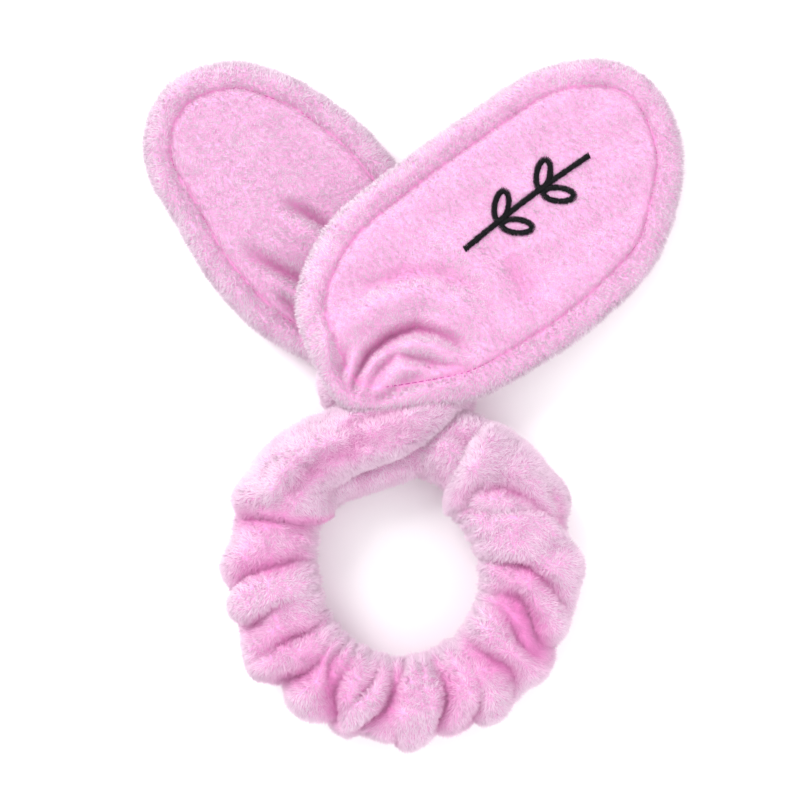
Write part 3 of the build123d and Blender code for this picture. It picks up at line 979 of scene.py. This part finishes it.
# %% [markdown]
# ## The pile
# The pile is what makes it look like coral fleece: short dense tufts, brushed over so that they lie in
# patches, with tips that catch the light and roots that stay dark. Tufts are spread evenly over each skin
# by area, lean the way the fabric was brushed with a soft unevenness, and bunch in small locks. The upper
# side gets more than the underside. No tuft grows on a line of stitching or under the satin threads.
# Real pile lets light through, so a tuft is never black on its far side: each takes its shading direction
# mostly from the fabric that it stands on, which also lets the folds read through the pile.

# %% Pile helper
MOST_TUFTS = 48000                  # in one piece, four faces each
LEAN = 0.9                          # how far a tuft leans, for each part that it rises
SATIN_CLEAR = 1.5
STITCH_CLEAR = 0.5
LIGHTNESS = {"middle": 0.76, "rim": 0.76, None: 0.90}   # by part of a skin
PINKNESS = {"middle": 0.0, "rim": 0.0, None: 0.09}
TREE = KDTree(len(satin_middles))
for number, (x, y) in enumerate(satin_middles):
    TREE.insert((x, y, 0), number)
TREE.balance()


def skin_values(mesh, name):
    values = np.empty(len(mesh.vertices))
    mesh.attributes[name].data.foreach_get("value", values)
    return values


def grow_pile(name, skin, upper, per_mm2, length, width, comb, seed, part=None):
    """Tufts on one side of a skin. comb(places) gives the way the pile was brushed."""
    rng = np.random.default_rng(seed)
    mesh = skin.data
    mesh.calc_loop_triangles()
    co = np.empty(len(mesh.vertices) * 3)
    mesh.vertices.foreach_get("co", co)
    co = co.reshape(-1, 3) / MM
    normals = np.empty(len(co) * 3)
    mesh.vertices.foreach_get("normal", normals)
    normals = normals.reshape(-1, 3)
    corners = np.empty(len(mesh.loop_triangles) * 3, int)
    mesh.loop_triangles.foreach_get("vertices", corners)
    corners = corners.reshape(-1, 3)
    inset = skin_values(mesh, "inset")
    valley = skin_values(mesh, "valley")
    a, b, c = (co[corners[:, k]] for k in range(3))
    facing = np.cross(b - a, c - a)
    area = np.linalg.norm(facing, axis=1) / 2
    facing_up = facing[:, 2] / np.maximum(2 * area, 1e-9)
    area = np.where((facing_up > -0.25) == upper, area, 0)
    area = np.where(np.abs(a[:, 1] - KNOT_START) + np.abs(b[:, 1] - KNOT_START) < 1e-3, 0, area)
    count = min(int(area.sum() * per_mm2), MOST_TUFTS)
    total = np.cumsum(area)
    pick = np.searchsorted(total, (np.arange(count) + rng.random(count)) / count * total[-1])
    pick = np.minimum(pick, len(area) - 1)
    r1 = np.sqrt(rng.random(count))[:, None]
    r2 = rng.random(count)[:, None]
    share = np.hstack([1 - r1, r1 * (1 - r2), r1 * r2])
    chosen = corners[pick]
    roots = sum(share[:, k : k + 1] * co[chosen[:, k]] for k in range(3))
    normal = unit(sum(share[:, k : k + 1] * normals[chosen[:, k]] for k in range(3)))
    depth = sum(share[:, k] * inset[chosen[:, k]] for k in range(3))
    in_fold = sum(share[:, k] * valley[chosen[:, k]] for k in range(3))
    grows = np.abs(depth - STITCH_INSET) > STITCH_CLEAR
    if part == "rim":
        grows &= depth < STITCH_INSET
    elif part == "middle":
        grows &= depth > STITCH_INSET
    if skin is right_ear and upper:
        free = [TREE.find((x, y, 0))[2] > SATIN_CLEAR for x, y in roots[:, :2]]
        grows &= np.array(free)
    roots, normal, in_fold, count = roots[grows], normal[grows], in_fold[grows], int(grows.sum())
    way = comb(roots) + 0.28 * rng.normal(size=(count, 3))
    for axis in range(3):
        way[:, axis] += 0.30 * ripple(roots, 16, seed + axis) + 0.36 * ripple(roots, 3.6, seed + 7 + axis)
    way -= normal * np.sum(way * normal, axis=1)[:, None]
    forward = unit(normal + LEAN * way)
    side = unit(np.cross(forward, rng.normal(size=(count, 3))))
    patch = ripple(roots, 9, seed + 20)
    lengths = length * (1 + 0.12 * patch + 0.14 * rng.normal(size=count))
    lengths = np.clip(lengths, 0.4 * length, 1.5 * length)
    widths = width * rng.uniform(0.75, 1.2, count)
    piece, local = repeated(
        name, tuft_template(), roots - forward * 0.4, forward, side, lengths + 0.4, widths, fleece_pile
    )
    up = np.tile(local[:, 2], count)
    piece.data.attributes.new("up_tuft", "FLOAT", "POINT").data.foreach_set("value", up)
    tone = np.repeat(LIGHTNESS[part] + 0.035 * rng.normal(size=count) + 0.02 * patch, len(local))
    piece.data.attributes.new("tone", "FLOAT", "POINT").data.foreach_set("value", tone)
    # Painted shade from the skin, plus the part's flat PINKNESS, mixes each tuft towards the crease shade colour.
    shade = np.repeat(np.clip(in_fold + PINKNESS[part], 0, 0.9), len(local))
    piece.data.attributes.new("valley", "FLOAT", "POINT").data.foreach_set("value", shade)
    sky = np.array([0, 0, 0.55 if upper else -0.2])
    soft = unit(normal + 0.35 * forward + sky + 0.16 * rng.normal(size=(count, 3)))
    piece.data.shade_smooth()
    piece.data.normals_split_custom_set_from_vertices(np.repeat(soft, len(local), axis=0))
    print(name, count, "tufts,", len(piece.data.polygons), "faces")
    return piece


# %% Ways the pile was brushed
def combed_out(places):
    """Away from the middle of the band's tube, and a little towards the camera's right."""
    off = places - np.array([OPENING.x, OPENING.y, 0])
    plan = np.hypot(off[:, 0], off[:, 1])
    outwards = off / plan[:, None] * np.sign(plan - BAND_RADIUS)[:, None] * 0.4
    outwards[:, 2] = 0
    return outwards + np.array([0.15, -0.25, -0.1])


def combed_along(side):
    """Towards the ear's base."""
    back = -np.array(ALONG[side])

    def comb(places):
        return 0.5 * back + 0 * places

    return comb


def combed_over_rim(side, ear):
    """Outwards over the rim, from the nearest place on the ear's spine."""
    spine = np.array(ear["spine"], float)

    def comb(places):
        along = spine[1] - spine[0]
        t = np.clip((places[:, :2] - spine[0]) @ along / (along @ along), 0, 1)
        off = places[:, :2] - spine[0] - t[:, None] * along
        return np.column_stack([unit(off) * 0.5, 0 * t]) - 0.25 * np.array(ALONG[side])

    return comb


# %% Pile
FOLD_REACH = 20.0                   # each side of an ear's fold
knot_blend = ("root", "ears", (-0.0069, -0.050, 0.024), (-0.0069, -0.014, 0.024))
nape_blend = ("root", "nape", (0, -0.055, 0.023), (0, -0.14, 0.023))


def fold_blend(side):
    """Bodies and the two places, in metres, between which an ear turns from its base to its tip."""
    fold = FOLDS[side] * MM
    reach = ALONG[side] * FOLD_REACH * MM
    return ("ears", f"{side}_ear_tip", tuple(fold - reach), tuple(fold + reach))


PILES = [
    # skin, part of it, blend, comb, length and half width of a tuft
    (right_ear, "middle", fold_blend("right"), combed_along("right"), 1.5, 0.22),
    (right_ear, "rim", fold_blend("right"), combed_over_rim("right", right), 2.2, 0.25),
    (left_ear, "middle", fold_blend("left"), combed_along("left"), 1.6, 0.22),
    (left_ear, "rim", fold_blend("left"), combed_over_rim("left", left), 2.2, 0.25),
    (nape_band, None, nape_blend, combed_out, 2.4, 0.26),
    (knot_band, None, knot_blend, combed_out, 2.4, 0.26),
    (left_neck, None, knot_blend, combed_out, 2.3, 0.25),
    (left_neck_roll, None, knot_blend, combed_out, 2.3, 0.25),
    (right_neck, None, knot_blend, combed_out, 2.3, 0.25),
]
UPPER_PER_MM2 = 3.4
LOWER_PER_MM2 = 1.2
blended = []
for number, (skin, part, zone, comb, length, width) in enumerate(PILES):
    if part != "rim":
        blended.append((skin, zone, "plush"))
    for upper, per_mm2 in ((True, UPPER_PER_MM2), (False, LOWER_PER_MM2)):
        words = [skin.name, part or "whole", "pile", "upper" if upper else "lower"]
        pile = grow_pile(
            "_".join(words), skin, upper, per_mm2, length, width, comb, 100 + 10 * number, part
        )
        blended.append((pile, zone, "plush"))

# %% [markdown]
# ## The pieces and their joints
# The fleece crosses three kinds of joint. The nape side follows the elastic as it stretches, the knot
# rises with the ears, and each ear folds where its wire bends. Each piece is listed with the one joint that it
# would blend across and a finish name, but here only its transform is baked into its mesh. The sleeves are
# attached whole to the ears' base.

# %% Bodies
blended += [
    (right_topstitch, fold_blend("right"), "pink_thread"),
    (left_topstitch, fold_blend("left"), "pink_thread"),
    (right_wadding, fold_blend("right"), "wadding"),
    (left_wadding, fold_blend("left"), "wadding"),
    (right_wire, fold_blend("right"), "wire"),
    (left_wire, fold_blend("left"), "wire"),
    (elastic, nape_blend, "elastic"),
    (sprig, fold_blend("right"), "black_thread"),
    (backing, fold_blend("right"), "backing"),
]
for piece, (first, second, start, end), slot in blended:
    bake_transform(piece)
for piece in (right_sleeve, left_sleeve):
    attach(piece, "ears")

# %% [markdown]
# Each piece now says which nodes of the frame it stands for. The pile stands for none, because it belongs
# The frame's nodes that the pieces stand for are hidden, so that only the pieces show. The pile stands for
# none, because it belongs to its skin. The two bar tacks of the elastic keep the frame's own shape and only get
# the thread's finish.

# %% Hiding the nodes that the pieces stand for
for side, skin, wadding, wire, line in (
    ("right", right_ear, right_wadding, right_wire, right_topstitch),
    ("left", left_ear, left_wadding, left_wire, left_topstitch),
):
    panels = [f"{side}_ear_{face}_{end}" for face in ("front", "back") for end in ("base", "tip")]
    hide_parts(*panels)
    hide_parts(f"{side}_ear_wadding_base", f"{side}_ear_wadding_tip")
    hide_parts(f"{side}_ear_topstitch_base", f"{side}_ear_topstitch_tip")
    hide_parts(f"{side}_ear_wire")
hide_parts("band_cover_nape", "band_cover_left", "band_cover_right")
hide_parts("left_neck", "left_neck_seam")
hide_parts("right_neck", "right_neck_seam")
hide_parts("band_elastic")
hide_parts("right_ear_embroidery")
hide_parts("right_ear_wire_sleeve")
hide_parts("left_ear_wire_sleeve")
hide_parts("right_ear_embroidery_backing")

# %% Finish of the carried-over parts
for node in ("elastic_left_tack", "elastic_right_tack"):
    for slot in frame["nodes"][node].material_slots:
        slot.material = pink_thread
